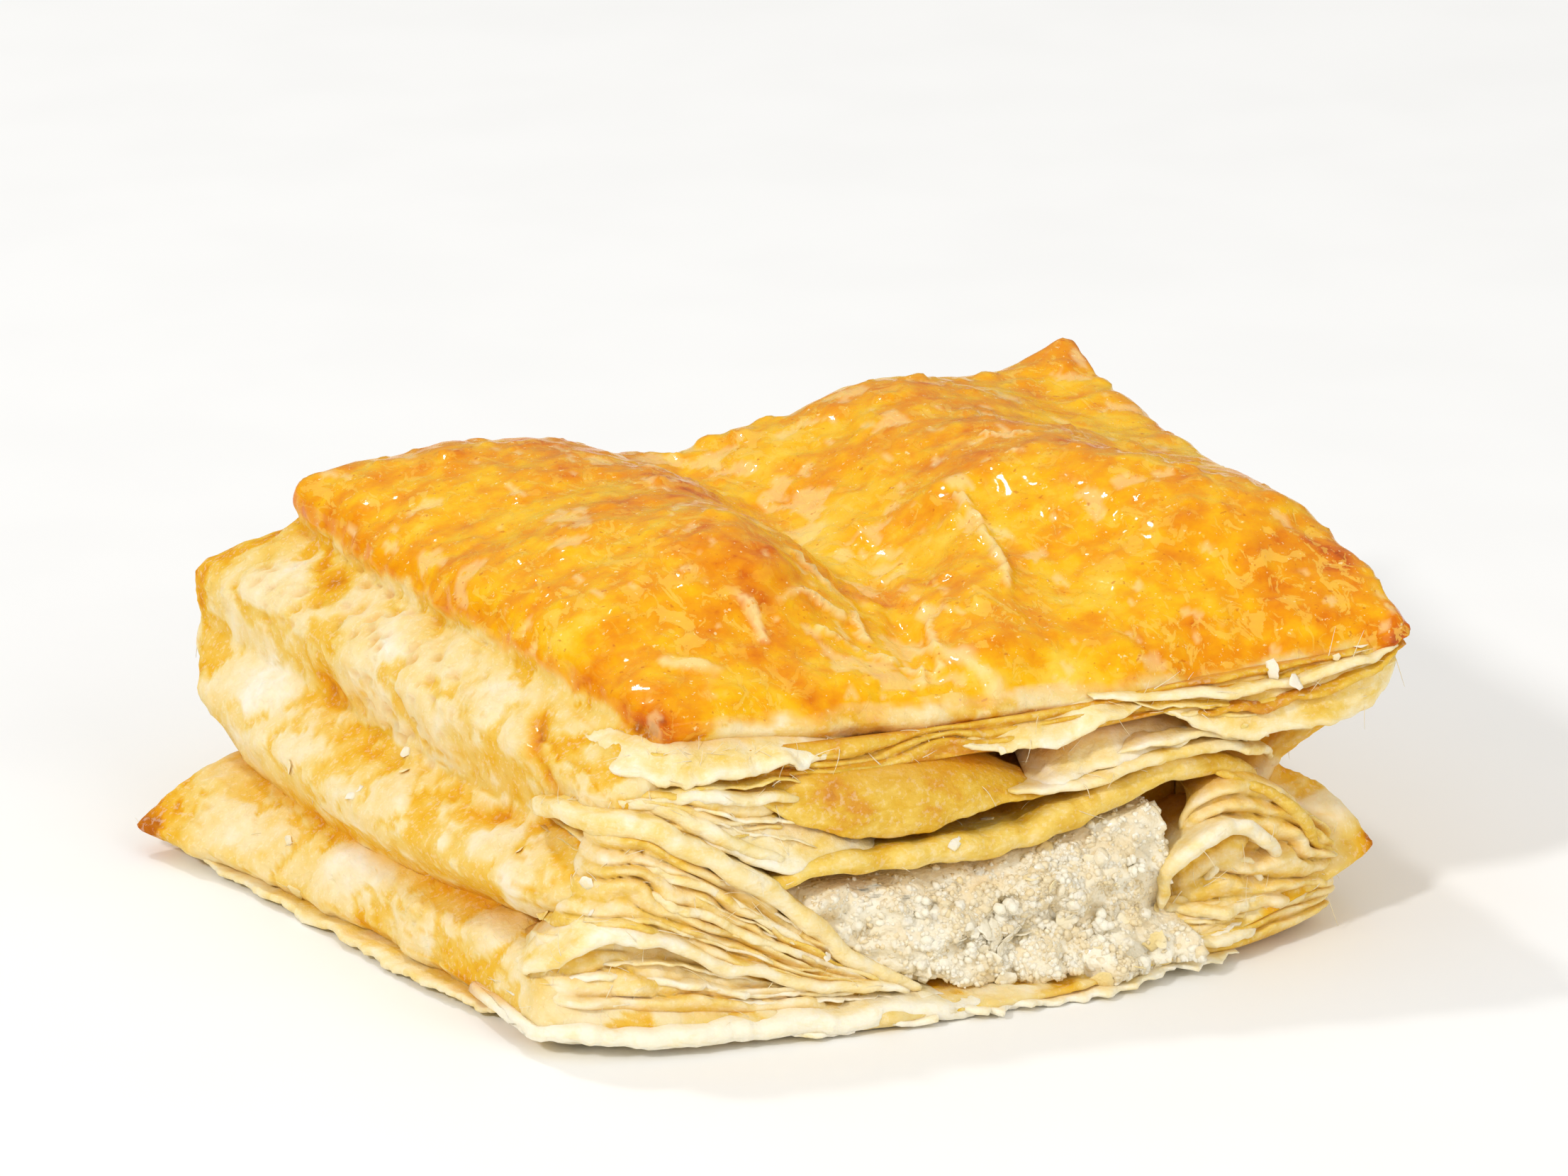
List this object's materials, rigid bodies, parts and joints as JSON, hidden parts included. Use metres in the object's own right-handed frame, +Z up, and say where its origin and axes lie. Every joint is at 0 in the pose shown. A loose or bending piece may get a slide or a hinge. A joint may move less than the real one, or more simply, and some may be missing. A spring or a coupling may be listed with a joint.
{
  "type": "coconut pastry",
  "caption": "Square puff pastry with a glazed, ridged top, bulging flaky sides and one torn side that shows its leaves and a band of grated coconut filling.",
  "frame": {"origin": "the point of the mount underside, in the middle of the flat face that the pastry rests on", "axes": "+X along the torn side, from its left end to its right end as seen facing it; +Y from the torn side to the far side; +Z up"},
  "size_m": [0.1076, 0.097, 0.0389],
  "materials": {
    "baked_pastry": "baked puff pastry: glossy golden glaze on the top, pale and matt at the flaky sides",
    "coconut": "moist grated coconut, white and slightly translucent"
  },
  "bodies": {
    "root": {"pastry": "baked_pastry", "coconut_filling": "coconut"}
  },
  "joints": []
}
